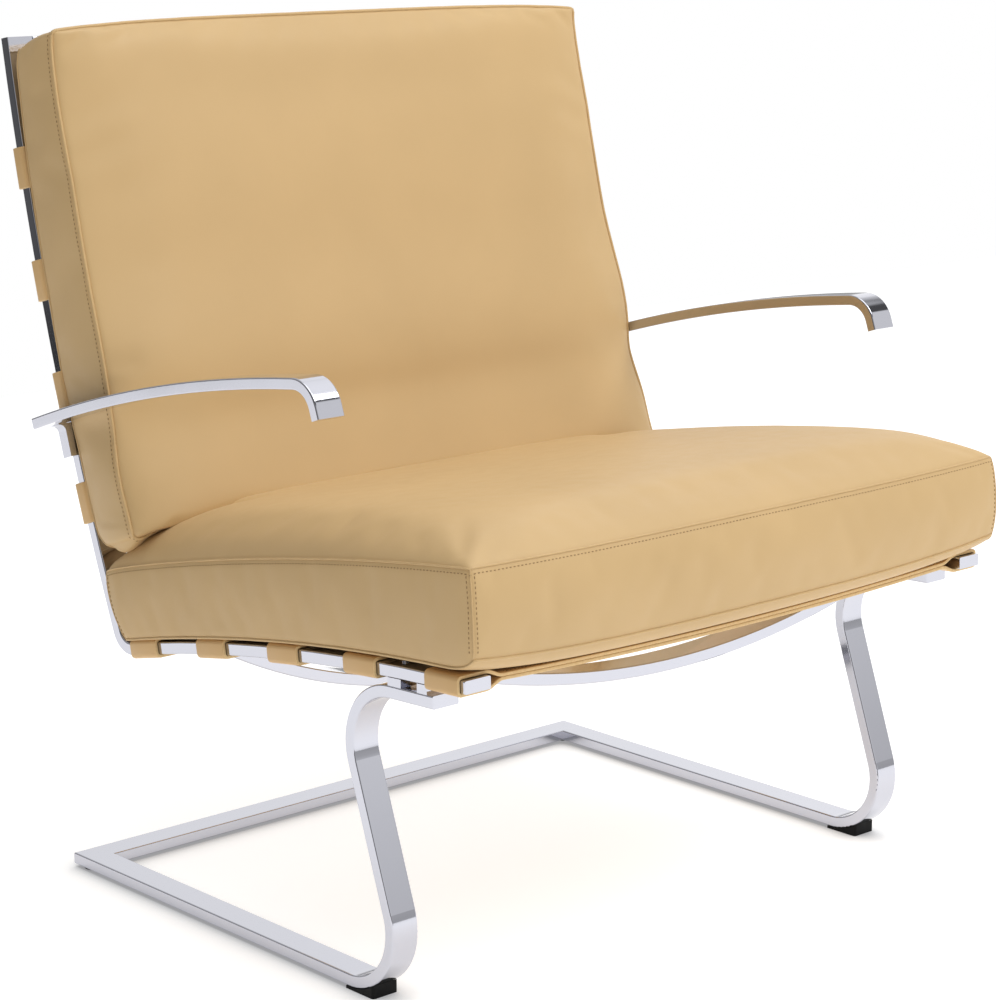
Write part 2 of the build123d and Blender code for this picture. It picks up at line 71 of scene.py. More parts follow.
def noise(mat, scale, detail=3.0, kind="ShaderNodeTexNoise"):
    """Noise in the object's own metres; scale is in cells per metre."""
    tree = mat.node_tree
    coords = tree.nodes.new("ShaderNodeTexCoord")
    node = tree.nodes.new(kind)
    node.inputs["Scale"].default_value = scale
    if "Detail" in node.inputs:
        node.inputs["Detail"].default_value = detail
    tree.links.new(coords.outputs["Object"], node.inputs["Vector"])
    return node.outputs[0]


def vary(mat, source, socket, low, high):
    """Drives a number or a colour of the shader between two values by a noise."""
    tree = mat.node_tree
    shader = tree.nodes["Principled BSDF"]
    if hasattr(low, "__len__"):
        ramp = tree.nodes.new("ShaderNodeValToRGB")
        ends = zip(ramp.color_ramp.elements, (NOISE_LOW, NOISE_HIGH), (low, high))
        for stop, position, colour in ends:
            stop.position = position
            stop.color = (*colour, 1.0)
        tree.links.new(source, ramp.inputs["Fac"])
        tree.links.new(ramp.outputs["Color"], shader.inputs[socket])
        return
    span = tree.nodes.new("ShaderNodeMapRange")
    span.inputs["From Min"].default_value = NOISE_LOW
    span.inputs["From Max"].default_value = NOISE_HIGH
    span.inputs["To Min"].default_value = low
    span.inputs["To Max"].default_value = high
    tree.links.new(source, span.inputs["Value"])
    tree.links.new(span.outputs["Result"], shader.inputs[socket])


def bump(mat, layers):
    """Chain of bumps; each layer is a height source, a strength and a depth in metres."""
    tree = mat.node_tree
    last = None
    for source, strength, depth in layers:
        node = tree.nodes.new("ShaderNodeBump")
        node.inputs["Strength"].default_value = strength
        node.inputs["Distance"].default_value = depth
        tree.links.new(source, node.inputs["Height"])
        if last is not None:
            tree.links.new(last.outputs["Normal"], node.inputs["Normal"])
        last = node
    tree.links.new(last.outputs["Normal"], tree.nodes["Principled BSDF"].inputs["Normal"])


def leather(name, dark, light, rough):
    mat = material(name, Specular_IOR_Level=0.4, Sheen_Weight=0.05, Sheen_Roughness=0.5)
    vary(mat, noise(mat, scale=7.0, detail=4.0), "Base Color", dark, light)
    vary(mat, noise(mat, scale=60.0, detail=4.0), "Roughness", rough, rough + LEATHER_ROUGH_SPAN)
    grain = noise(mat, scale=300.0, detail=6.0)
    pores = noise(mat, scale=1100.0, kind="ShaderNodeTexVoronoi")
    bump(mat, [(grain, 0.10, 0.0004), (pores, 0.12, 0.0003)])
    return mat


def make_materials():
    chrome = material("chrome", Metallic=1.0)
    vary(chrome, noise(chrome, scale=3.0), "Base Color", (0.55, 0.555, 0.61), (0.57, 0.575, 0.63))
    vary(chrome, noise(chrome, scale=14.0, detail=5.0), "Roughness", 0.05, 0.085)
    bump(chrome, [(noise(chrome, scale=25.0, detail=2.0), 0.05, 0.0002)])

    edge = material("strap_edge", Specular_IOR_Level=0.3)
    fibres = noise(edge, scale=400.0, detail=6.0)
    vary(edge, fibres, "Base Color", (0.72, 0.50, 0.24), (0.80, 0.58, 0.30))
    vary(edge, noise(edge, scale=200.0), "Roughness", 0.6, 0.75)
    bump(edge, [(noise(edge, scale=900.0, detail=5.0), 0.3, 0.0004)])

    thread = material("thread", Specular_IOR_Level=0.2)
    vary(thread, noise(thread, scale=500.0), "Base Color", (0.30, 0.19, 0.085), (0.36, 0.235, 0.11))
    vary(thread, noise(thread, scale=900.0), "Roughness", 0.6, 0.8)

    rubber = material("rubber", Specular_IOR_Level=0.15)
    vary(rubber, noise(rubber, scale=40.0), "Base Color", (0.003, 0.003, 0.003), (0.006, 0.006, 0.006))
    vary(rubber, noise(rubber, scale=120.0), "Roughness", 0.42, 0.6)
    bump(rubber, [(noise(rubber, scale=1200.0, detail=4.0), 0.25, 0.0003)])

    glide = material("glide", Specular_IOR_Level=0.4)
    vary(glide, noise(glide, scale=80.0), "Base Color", (0.030, 0.030, 0.032), (0.045, 0.045, 0.048))
    vary(glide, noise(glide, scale=200.0), "Roughness", 0.35, 0.5)

    screw = material("screw", Metallic=1.0)
    vary(screw, noise(screw, scale=300.0), "Base Color", (0.62, 0.62, 0.66), (0.70, 0.70, 0.74))
    vary(screw, noise(screw, scale=700.0, detail=5.0), "Roughness", 0.16, 0.26)
    bump(screw, [(noise(screw, scale=1500.0, detail=4.0), 0.1, 0.0002)])

    return {
        "chrome": chrome,
        "leather": leather("leather", (0.578, 0.392, 0.182), (0.614, 0.418, 0.196), 0.46),
        "strap": leather("strap", (0.640, 0.410, 0.180), (0.690, 0.445, 0.200), 0.42),
        "strap_edge": edge,
        "thread": thread,
        "rubber": rubber,
        "glide": glide,
        "screw": screw,
    }


MATS = make_materials()

# Start of a CAD node's name and its look; every other node is chrome.
CAD_LOOKS = {
    "front_foot": "rubber",
    "rear_glide": "glide",
    "frame_screws": "screw",
    "arm_screws": "screw",
}
for name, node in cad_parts.items():
    look = next((value for key, value in CAD_LOOKS.items() if name.startswith(key)), "chrome")
    node.data.materials.clear()
    node.data.materials.append(MATS[look])


# ---- Mesh helpers ----

END_DENSITY = 0.22  # how far lattice lines crowd towards the ends
END_FACE = 0.999  # lattice places beyond this lie on an end face
CLOTH_FRAMES = 20
TINY = 1e-9

# A stitch is a dash: (place along it, size) pairs, and a round of (place across, height) at each.
DASH_LENGTH, DASH_WIDTH, DASH_HEIGHT = 0.0024, 0.0011, 0.0005
DASH_PROFILE = ((-0.5, 0.35), (-0.3, 1.0), (0.3, 1.0), (0.5, 0.35))
DASH_ROUND = ((-0.5, -0.6), (-0.35, 0.7), (0.0, 1.0), (0.35, 0.7), (0.5, -0.6))
STITCH_PITCH = 0.0044

TUBE_STEP = 0.004
TUBE_SIDES = 8
ASKEW = Vector((0.13, 0.29, 0.95))  # no seam runs this way


def mesh_object(name, points, faces, mats, face_mats=None):
    mesh = bpy.data.meshes.new(name)
    mesh.from_pydata([tuple(p) for p in points], [], faces)
    mesh.validate()
    for mat in mats:
        mesh.materials.append(MATS[mat])
    mesh.polygons.foreach_set("use_smooth", [True] * len(mesh.polygons))
    if face_mats is not None:
        mesh.polygons.foreach_set("material_index", face_mats)
    obj = bpy.data.objects.new(name, mesh)
    bpy.context.scene.collection.objects.link(obj)
    return obj


def smooth_curve(points, value):
    """Catmull-Rom curve through points; value runs from 0 to 1."""
    count = len(points) - 1
    at = min(max(value, 0.0), 1.0) * count
    index = min(int(at), count - 1)
    t = at - index
    before, start = points[max(index - 1, 0)], points[index]
    end, after = points[index + 1], points[min(index + 2, count)]
    out = []
    for p0, p1, p2, p3 in zip(before, start, end, after):
        linear = (p2 - p0) * t
        square = (2 * p0 - 5 * p1 + 4 * p2 - p3) * t * t
        cube = (3 * p1 - p0 - 3 * p2 + p3) * t**3
        out.append(0.5 * (2 * p1 + linear + square + cube))
    return out


def fade(value, power, root):
    """1 inside, falling to 0 as value reaches 1."""
    return max(0.0, 1.0 - abs(value) ** power) ** root


def crowd(value):
    """Moves a lattice line on -1..1 towards the ends."""
    return value * (1 + END_DENSITY * (1 - value * value))


def crowded(s, u):
    """Lattice place with both lines crowded; s is on -1..1 and u on 0..1."""
    return crowd(s), (crowd(2 * u - 1) + 1) / 2


class Lattice:
    """Closed box lattice of quads: i across, j from front to rear or bottom to top, k through it."""

    def __init__(self, cells, at):
        self.n = cells
        self.index, self.points, self.faces = {}, [], []
        self.at = at
        nx, ny, nz = cells
        for i in range(nx):
            for j in range(ny):
                self.quad((i, j, nz), (i + 1, j, nz), (i + 1, j + 1, nz), (i, j + 1, nz))
                self.quad((i, j, 0), (i, j + 1, 0), (i + 1, j + 1, 0), (i + 1, j, 0))
        for i in range(nx):
            for k in range(nz):
                self.quad((i, 0, k), (i + 1, 0, k), (i + 1, 0, k + 1), (i, 0, k + 1))
                self.quad((i, ny, k), (i, ny, k + 1), (i + 1, ny, k + 1), (i + 1, ny, k))
        for j in range(ny):
            for k in range(nz):
                self.quad((0, j, k), (0, j, k + 1), (0, j + 1, k + 1), (0, j + 1, k))
                self.quad((nx, j, k), (nx, j + 1, k), (nx, j + 1, k + 1), (nx, j, k + 1))

    def vertex(self, key):
        if key not in self.index:
            self.index[key] = len(self.points)
            i, j, k = key
            nx, ny, nz = self.n
            self.points.append(self.at(2 * i / nx - 1, j / ny, k / nz))
        return self.index[key]

    def quad(self, *keys):
        self.faces.append([self.vertex(key) for key in keys])

    def ring(self, k):
        """Vertices round the lattice at level k, starting at the corner i = 0, j = 0."""
        nx, ny, _ = self.n
        keys = [(i, 0, k) for i in range(nx)] + [(nx, j, k) for j in range(ny)]
        keys += [(nx - i, ny, k) for i in range(nx)] + [(0, ny - j, k) for j in range(ny)]
        return [self.index[key] for key in keys]


def coordinates(mesh):
    co = np.zeros(len(mesh.vertices) * 3)
    mesh.vertices.foreach_get("co", co)
    return co.reshape(-1, 3)


def inflate(obj, pinned, pressure, cap):
    """Cloth under pressure, held at the seams; no point moves further than cap."""
    group = obj.vertex_groups.new(name="seams")
    group.add(pinned, 1.0, "REPLACE")
    rest = coordinates(obj.data)
    cloth = obj.modifiers.new("Cloth", "CLOTH")
    settings = cloth.settings
    settings.quality = 6
    settings.mass = 0.4
    settings.tension_stiffness = 25
    settings.compression_stiffness = 25
    settings.shear_stiffness = 10
    settings.bending_stiffness = 2.0
    settings.use_pressure = True
    settings.uniform_pressure_force = pressure
    settings.effector_weights.gravity = 0
    settings.vertex_group_mass = "seams"
    settings.shrink_min = -0.004
    scene = bpy.context.scene
    for number in range(1, CLOTH_FRAMES + 1):
        scene.frame_set(number)
    moved = coordinates(obj.evaluated_get(bpy.context.evaluated_depsgraph_get()).data)
    obj.modifiers.remove(cloth)
    scene.frame_set(1)
    shift = moved - rest
    size = np.linalg.norm(shift, axis=1, keepdims=True)
    shift *= np.where(size > 0, cap * np.tanh(size / cap) / np.maximum(size, TINY), 1.0)
    obj.data.vertices.foreach_set("co", (rest + shift).ravel())
    obj.data.update()
    obj.vertex_groups.clear()


def surface(obj):
    """Final mesh of a piece: points, normals and a search tree."""
    bpy.context.view_layer.update()
    graph = bpy.context.evaluated_depsgraph_get()
    mesh = obj.evaluated_get(graph).to_mesh()
    points = [v.co.copy() for v in mesh.vertices]
    normals = [v.normal.copy() for v in mesh.vertices]
    tree = BVHTree.FromPolygons(points, [tuple(p.vertices) for p in mesh.polygons])
    return points, normals, tree


def resampled(points, step, closed):
    """Points a given step apart along a line, each with its direction."""
    line = list(points) + ([points[0]] if closed else [])
    lengths = [0.0]
    for a, b in zip(line, line[1:]):
        lengths.append(lengths[-1] + (b - a).length)
    count = max(2, round(lengths[-1] / step))
    out, index = [], 0
    for number in range(count if closed else count + 1):
        at = lengths[-1] * number / count
        while index < len(line) - 2 and lengths[index + 1] < at:
            index += 1
        a, b = line[index], line[index + 1]
        span = max(lengths[index + 1] - lengths[index], TINY)
        out.append((a.lerp(b, (at - lengths[index]) / span), (b - a).normalized()))
    return out


def tube(name, points, radius, closed=True):
    """Round leather seam along a line of points."""
    path = resampled(points, TUBE_STEP, closed)
    verts, faces = [], []
    count, sides = len(path), TUBE_SIDES
    for position, (point, _) in enumerate(path):
        ahead = path[(position + 1) % count][0] if closed or position < count - 1 else point
        behind = path[position - 1][0] if closed or position > 0 else point
        along = (ahead - behind).normalized()
        across = along.cross(ASKEW).normalized()
        third = along.cross(across)
        for side in range(sides):
            angle = 2 * math.pi * side / sides
            verts.append(point + (across * math.cos(angle) + third * math.sin(angle)) * radius)
    for position in range(count if closed else count - 1):
        here, there = position * sides, (position + 1) % count * sides
        for side in range(sides):
            after = (side + 1) % sides
            faces.append((here + side, here + after, there + after, there + side))
    if not closed:
        faces.append(tuple(range(sides))[::-1])
        faces.append(tuple((count - 1) * sides + side for side in range(sides)))
    return mesh_object(name, verts, faces, ["leather"])


def stitches(name, rows):
    """One small raised dash of thread at each (point, direction, normal)."""
    verts, faces = [], []
    count = len(DASH_ROUND)
    for point, along, normal in rows:
        across = along.cross(normal).normalized()
        base = len(verts)
        for distance, size in DASH_PROFILE:
            for side, up in DASH_ROUND:
                offset = along * (distance * DASH_LENGTH) + across * (side * DASH_WIDTH * size)
                verts.append(point + offset + normal * (up * DASH_HEIGHT * size))
        for step in range(len(DASH_PROFILE) - 1):
            for side in range(count):
                a = base + step * count + side
                b = base + step * count + (side + 1) % count
                faces.append((a, b, b + count, a + count))
        last = base + (len(DASH_PROFILE) - 1) * count
        faces.append(tuple(base + side for side in range(count))[::-1])
        faces.append(tuple(last + side for side in range(count)))
    return mesh_object(name, verts, faces, ["thread"])


def on_surface(tree, line, closed=True):
    """Stitch places along a line of points dropped on a surface."""
    rows = []
    for point, along in resampled(line, STITCH_PITCH, closed):
        hit, normal, _, _ = tree.find_nearest(point)
        rows.append((hit, (along - normal * along.dot(normal)).normalized(), normal))
    return rows


def lifted(points, normals, ring, lift):
    """Line through a list of vertices, lifted off the surface."""
    return [points[n] + normals[n] * lift for n in ring]


def beside_seam(points, lattice, inset):
    """Line on the side faces, a given distance from the seam at the lattice's last level."""
    nz = lattice.n[2]
    inner = [points[n] for n in lattice.ring(nz - 1)]
    edge = [points[n] for n in lattice.ring(nz)]
    return [a + (b - a).normalized() * inset for a, b in zip(edge, inner)]


# ---- Seat cushion ----

# In the formulas s runs across from -1 to 1 and a is its size, u runs from the front to the rear
# and t from the rear to the front, and w from the bottom seam to the top seam. A fade is given as
# its power and root. Lengths are in millimetres unless a comment says metres.
SEAT_CELLS = (76, 60, 10)
SEAT_HALF = 355.0
SEAT_FRONT_Y, SEAT_REAR_Y = -623.0, -75.0  # top seam
SEAT_FRONT_Z, SEAT_REAR_Z = 432.8, 330.0
SEAT_TOE_Y, SEAT_HEEL_Y = -628.0, -107.0  # bottom seam
SEAT_TOE_Z = 340.0
TOE_DEPTH = 34.0  # the underside curves up to the front over this length
TOE_CORNER_LIFT = 11.5

SEAT_SAG = 6.5
SAG_REACH = 300.0

# Underside of the seat rails, a parabola in side view
RAIL_Z, RAIL_SLOPE, RAIL_CURVE = 220.61, 0.28322, 2.033e-4
BASE_OFF_RAIL = 16.2  # bottom seam over the rail's underside
BASE_CORNER_LIFT = 6.0
BELLY = 6.6  # the underside hangs below its seam between the rails
BELLY_START, BELLY_RUN = 112, 20  # from the rear edge forwards

# Top seam
SEAM_BOW = 39.2
FRONT_BOW, REAR_BOW = 2.0, 5.0
FRONT_SEAM_DIP, FRONT_DIP_POWER = 3.4, 6
REAR_SEAM_RISE, REAR_RISE_POWER = 26, 8
CORNER_DRAW, CORNER_REACH, CORNER_POWER = 0.006, 2.0, 14

# Crown above the top seam, lower towards the front and with rounder sides there
CROWN, CROWN_FALL, CROWN_SWELL = 43.5, 15, 8
CROWN_SIDE_POWER, CROWN_SIDE_POWER_FALL = 14, 5
CROWN_SIDE_ROOT, CROWN_SIDE_ROOT_RISE = 0.5, 0.06
CROWN_FRONT_FADE, CROWN_REAR_FADE = (16, 0.6), (18, 0.55)
MIDDLE_FADE, BELLY_FADE = (4, 1.0), (10, 1.0)

# The side walls swell out between the seams, most at the corners.
SIDE_PUFF, SIDE_PUFF_FALL = 3.0, 4.0
FRONT_PUFF, FRONT_MIDDLE_PUFF, REAR_PUFF = 5.0, 4.0, 6.0

# Trims, in metres
SEAT_STITCH_INSET, CORNER_STITCH_INSET = 0.0048, 0.0046
SEAT_SEAM_RADIUS, SEAT_SEAM_LIFT = 0.0010, 0.0002
SEAT_WELT_RADIUS, SEAT_WELT_LIFT = 0.0013, 0.0004
CORNER_SEAM_RADIUS, CORNER_SEAM_LIFT = 0.0009, 0.0001

CUSHION_PRESSURE = 4.0
CUSHION_CAP = 0.006  # metres that the cloth may move at most


def sag(x):
    """Drop of bands and cushion between the rails."""
    return SEAT_SAG * max(0.0, 1 - (x / SAG_REACH) ** 2)


def rail_bottom(y):
    """Underside of the seat rails."""
    return RAIL_Z - RAIL_SLOPE * y - RAIL_CURVE * y * y


def seat_point(s, u, w):
    s, u = crowded(s, u)
    a, t = abs(s), 1 - u
    side_power = CROWN_SIDE_POWER - CROWN_SIDE_POWER_FALL * t
    across = fade(a, side_power, CROWN_SIDE_ROOT + CROWN_SIDE_ROOT_RISE * t)
    middle = fade(a, *MIDDLE_FADE)

    front_y = SEAT_FRONT_Y - FRONT_BOW * middle
    rear_y = SEAT_REAR_Y - REAR_BOW * across
    top_y = front_y + (rear_y - front_y) * u
    side_z = SEAT_REAR_Z + (SEAT_FRONT_Z - SEAT_REAR_Z) * t + SEAM_BOW * t * u
    crown = CROWN - CROWN_FALL * t + CROWN_SWELL * t * u
    rise = crown * fade(t, *CROWN_FRONT_FADE) * fade(u, *CROWN_REAR_FADE)
    dip = FRONT_SEAM_DIP * middle * t**FRONT_DIP_POWER
    seam = REAR_SEAM_RISE * middle * u**REAR_RISE_POWER - dip
    top_z = side_z + rise * across + seam

    low_y = SEAT_TOE_Y + (SEAT_HEEL_Y - SEAT_TOE_Y) * u
    base = rail_bottom(low_y) + BASE_OFF_RAIL + BASE_CORNER_LIFT * a**6 * t**1.5
    belly = fade(a, *BELLY_FADE) * min(1.0, max(0.0, (-low_y - BELLY_START) / BELLY_RUN))
    base -= (BELLY + sag(SEAT_HALF * s)) * belly
    toe = min(1.0, max(0.0, (SEAT_TOE_Y + TOE_DEPTH - low_y) / TOE_DEPTH))
    edge = SEAT_TOE_Z + TOE_CORNER_LIFT * a**3
    base += (edge - base) * (1 - math.sqrt(1 - toe * toe))

    y = low_y + (top_y - low_y) * w
    z = base + (top_z - base) * w
    puff = 4 * w * (1 - w)
    at_end = (2 * abs(u - 0.5)) ** CORNER_POWER
    x = SEAT_HALF * s * (1 - CORNER_DRAW * at_end)
    if a > END_FACE:
        side_puff = abs(SIDE_PUFF - SIDE_PUFF_FALL * (4 * u * (1 - u)))
        x += math.copysign(side_puff * puff, s)
    if u < 1 - END_FACE:
        y -= (FRONT_PUFF + FRONT_MIDDLE_PUFF * middle) * puff
    if u > END_FACE:
        y += REAR_PUFF * puff
    y += CORNER_REACH * at_end * a**CORNER_POWER * (1 if u < 0.5 else -1)
    return place(x, y, z)


# ---- Back cushion ----

# Here v runs from the bottom to the top and w from the rear seam to the front seam.
BACK_CELLS = (76, 56, 8)
BACK_HALF = 351.0
# (Y, Z, half width) of the front seam and (Y, Z) of the rear one, from the bottom up
FRONT_SEAM = (
    (-133.0, 373.0, 356.0),
    (-134.0, 381.0, 359.5),
    (-127.0, 400.0, 360.0),
    (-114.5, 435.0, 360.0),
    (-100.5, 477.0, 354.8),
    (-96.0, 513.0, 355.8),
    (-87.0, 552.0, 355.8),
    (-60.5, 629.0, 352.8),
    (-41.5, 705.0, 352.3),
    (-29.5, 752.0, 353.0),
    (-18.0, 795.0, 352.5),
    (-9.5, 839.0, 351.0),
    (-10.0, 857.0, 350.0),
)
REAR_SEAM = (
    (-84.0, 353.0),
    (-64.0, 365.0),
    (-50.0, 396.0),
    (-37.0, 436.0),
    (-22.0, 476.0),
    (-9.0, 514.0),
    (1.0, 552.0),
    (20.0, 629.0),
    (37.0, 705.0),
    (45.0, 752.0),
    (50.5, 793.0),
    (53.5, 820.0),
    (50.0, 837.0),
)
BACK_LENGTH = 505.0  # along the cushion, for the corner rounding
BOTTOM_ROUND, TOP_ROUND = 20.0, 7.0

# Crown in front of the front seam, falling from the bottom up to CROWN_LEVEL
BACK_CROWN, BACK_CROWN_FALL, CROWN_LEVEL = 27, 13, 0.55
BACK_SIDE_FADE, BACK_FOOT_FADE, BACK_HEAD_FADE = (9, 0.55), (12, 0.6), (16, 0.6)
FRONT_HEAD_RISE, FRONT_FOOT_RISE = 7.0, 22
REAR_HEAD_RISE, REAR_FOOT_RISE = 5.0, 24
HEAD_RISE_POWER, FOOT_RISE_POWER = 8, 10
REAR_SWELL, REAR_SIDE_FADE, REAR_LENGTH_FADE = 1.5, (10, 1.0), (8, 1.0)

# The side walls swell out between the seams.
BACK_SIDE_PUFF, FOOT_SIDE_PUFF, FOOT_LEVEL = 2.0, 3.5, 0.12
HEAD_PUFF, HEAD_MIDDLE_PUFF = 3.0, 4.0
FOOT_PUFF, FOOT_PUFF_FALL = 12.0, 9.0

# Trims, in metres
BACK_STITCH_INSET = 0.0052
PIPING_RADIUS, PIPING_LIFT = 0.0017, 0.0008
BACK_SEAM_RADIUS, BACK_SEAM_LIFT = 0.0010, 0.0003


def round_corner(s, v, half, length, radius):
    """Moves lattice places near the corner at |s| = 1, v = 0 onto a quarter circle."""
    over = (abs(s) * half - half + radius) / radius
    under = (radius - v * length) / radius
    if over <= 0 or under <= 0:
        return s, v
    x = half - radius + radius * over * math.sqrt(1 - under * under / 2)
    z = radius - radius * under * math.sqrt(1 - over * over / 2)
    return math.copysign(x / half, s), z / length


def back_point(s, v, w):
    s, v = crowded(s, v)
    rim, head, foot = abs(s) > END_FACE, v > END_FACE, v < 1 - END_FACE
    s, v = round_corner(s, v, BACK_HALF, BACK_LENGTH, BOTTOM_ROUND)
    s, v = round_corner(s, 1 - v, BACK_HALF, BACK_LENGTH, TOP_ROUND)
    v = 1 - v
    a = abs(s)
    middle = fade(a, *MIDDLE_FADE)
    to_head, to_foot = v**HEAD_RISE_POWER, (1 - v) ** FOOT_RISE_POWER

    front = smooth_curve(FRONT_SEAM, v)
    crown = BACK_CROWN - BACK_CROWN_FALL * min(1.0, v / CROWN_LEVEL)
    swell = crown * fade(1 - v, *BACK_FOOT_FADE) * fade(v, *BACK_HEAD_FADE)
    front[0] -= swell * fade(a, *BACK_SIDE_FADE)
    front[1] += FRONT_HEAD_RISE * middle * to_head + FRONT_FOOT_RISE * middle * to_foot

    rear = smooth_curve(REAR_SEAM, v)
    rear[0] += REAR_SWELL * fade(a, *REAR_SIDE_FADE) * fade(2 * v - 1, *REAR_LENGTH_FADE)
    rear[1] += REAR_HEAD_RISE * middle * to_head + REAR_FOOT_RISE * middle * to_foot

    x = (BACK_HALF + (front[2] - BACK_HALF) * w) * s
    y = rear[0] + (front[0] - rear[0]) * w
    z = rear[1] + (front[1] - rear[1]) * w
    puff = 4 * w * (1 - w)
    if rim:
        side_puff = BACK_SIDE_PUFF if v > FOOT_LEVEL else FOOT_SIDE_PUFF
        x += math.copysign(side_puff * puff, s)
    if head:
        z += (HEAD_PUFF + HEAD_MIDDLE_PUFF * middle) * puff
    if foot:
        z -= (FOOT_PUFF - FOOT_PUFF_FALL * middle) * puff
    return place(x, y, z)


def cushion(name, node_names, lattice, pinned):
    obj = mesh_object(name, lattice.points, lattice.faces, ["leather"])
    inflate(obj, pinned, CUSHION_PRESSURE, CUSHION_CAP)
    subdivision = obj.modifiers.new("Subdivision", "SUBSURF")
    subdivision.levels = 1
    subdivision.render_levels = 1
    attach(obj, "root")
    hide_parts(*node_names)
    return obj


def corner_seam(lattice, i, j, points, normals, tree):
    """Seam at a corner of the seat, and the stitch places on both sides of it."""
    column = [lattice.index[(i, j, k)] for k in range(lattice.n[2] + 1)]
    line = lifted(points, normals, column, CORNER_SEAM_LIFT)
    seam = tube(f"seat_corner_seam_{i}_{j}", line, CORNER_SEAM_RADIUS, closed=False)
    rows = []
    for side in (-1, 1):
        beside = []
        for n in column[1:-1]:
            sideways = normals[n].cross(Vector((0, 0, 1))).normalized()
            beside.append(points[n] + sideways * side * CORNER_STITCH_INSET)
        rows += on_surface(tree, beside, closed=False)
    return seam, rows


def make_seat():
    lattice = Lattice(SEAT_CELLS, seat_point)
    nx, ny, nz = lattice.n
    held = []
    for (i, j, k), n in lattice.index.items():
        side, end = i in (0, nx), j in (0, ny)
        if k == 0 or (k == nz and (side or end)) or (side and end):
            held.append(n)
    seat = cushion("seat_cushion", ("seat_cover", "seat_foam"), lattice, held)
    points, normals, tree = surface(seat)
    top = lifted(points, normals, lattice.ring(nz), SEAT_SEAM_LIFT)
    low = lifted(points, normals, lattice.ring(0), SEAT_WELT_LIFT)
    trims = [
        tube("seat_top_seam", top, SEAT_SEAM_RADIUS),
        tube("seat_bottom_welt", low, SEAT_WELT_RADIUS),
    ]
    rows = on_surface(tree, beside_seam(points, lattice, SEAT_STITCH_INSET))
    for i in (0, nx):
        for j in (0, ny):
            seam, beside = corner_seam(lattice, i, j, points, normals, tree)
            trims.append(seam)
            rows += beside
    trims.append(stitches("seat_stitches", rows))
    return trims


def make_back():
    lattice = Lattice(BACK_CELLS, back_point)
    nx, ny, nz = lattice.n
    held = []
    for (i, j, k), n in lattice.index.items():
        if k == 0 or (k == nz and (i in (0, nx) or j in (0, ny))):
            held.append(n)
    back = cushion("back_cushion", ("back_cover", "back_foam"), lattice, held)
    points, normals, tree = surface(back)
    front = lifted(points, normals, lattice.ring(nz), PIPING_LIFT)
    rear = lifted(points, normals, lattice.ring(0), BACK_SEAM_LIFT)
    rows = on_surface(tree, beside_seam(points, lattice, BACK_STITCH_INSET))
    return [
        tube("back_piping", front, PIPING_RADIUS),
        tube("back_rear_seam", rear, BACK_SEAM_RADIUS),
        stitches("back_stitches", rows),
    ]


# ---- Leather bands ----

# A band is a closed strip of two layers that open round the rails, in millimetres.
SEAT_BAND_COUNT, BACK_BAND_COUNT = 5, 4
SEAT_BAND_WIDTH, BACK_BAND_WIDTH = 44.0, 41.0
LAYER = 3.3
LAYER_GAP = 0.06  # half the gap between the two layers
EDGE_ROUND, EDGE_STEPS = 0.8, 3
CUT_EDGE = 0.7  # share of the rounding that shows the cut edge
RAIL_INNER, RAIL_OUTER = 320.0, 350.0
RAIL_GAP = 0.3
OFF_RAIL = 6.3
JOIN = 300.0  # the layers part here
STRAIGHT_POINTS, OPENING_STEPS, BEND_STEPS = 31, 8, 6
OPEN_RUN = 12  # straight again from the rail's inner side
BEND = 1.8  # inner radius of the bend round a rail
SAME_POINT = 0.01
BAND_STITCH_INSET, BAND_STITCH_PITCH = 4.5, 4.6
BAND_STITCH_LIFT = 0.08
BAND_STITCH_START, BAND_STITCH_END = 4, 66  # from JOIN inwards

# Slope of the back rails' lean, which falls with height
BACK_LEAN, BACK_CURVE = 0.50622, 1.971e-4


def band_path():
    """Middle line of a band's closed strip, as (x, off) points."""
    thin, wide = LAYER / 2 + LAYER_GAP, OFF_RAIL + LAYER / 2
    quarter = [(x, thin) for x in np.linspace(0.0, JOIN, STRAIGHT_POINTS)]
    for step in range(1, OPENING_STEPS + 1):
        t = step / OPENING_STEPS
        ease = t * t * (3 - 2 * t)
        quarter.append((JOIN + (RAIL_INNER - JOIN) * t, thin + (wide - thin) * ease))
    quarter.append((RAIL_INNER + OPEN_RUN, wide))
    radius = BEND + LAYER / 2
    centre = (RAIL_OUTER + RAIL_GAP - BEND, wide - radius)
    for step in range(BEND_STEPS + 1):
        angle = math.pi / 2 * (1 - step / BEND_STEPS)
        quarter.append((centre[0] + radius * math.cos(angle), centre[1] + radius * math.sin(angle)))
    right = quarter + [(x, -off) for x, off in reversed(quarter)]
    left = [(-x, off) for x, off in reversed(right)]
    path = right + left
    clean = [path[0]]
    for point in path[1:]:
        if math.dist(point, clean[-1]) > SAME_POINT:
            clean.append(point)
    if math.dist(clean[-1], clean[0]) < SAME_POINT:
        clean.pop()
    return clean


def band_section(half):
    """Rounded section of the strip, as (across, off) points."""
    thick = LAYER / 2
    corners = ((half, thick, 0), (-half, thick, 90), (-half, -thick, 180), (half, -thick, 270))
    section = []
    for across, off, start in corners:
        centre_across = across - math.copysign(EDGE_ROUND, across)
        centre_off = off - math.copysign(EDGE_ROUND, off)
        for step in range(EDGE_STEPS + 1):
            angle = math.radians(start + 90 / EDGE_STEPS * step)
            point = (
                centre_across + EDGE_ROUND * math.cos(angle),
                centre_off + EDGE_ROUND * math.sin(angle),
            )
            section.append(point)
    return section


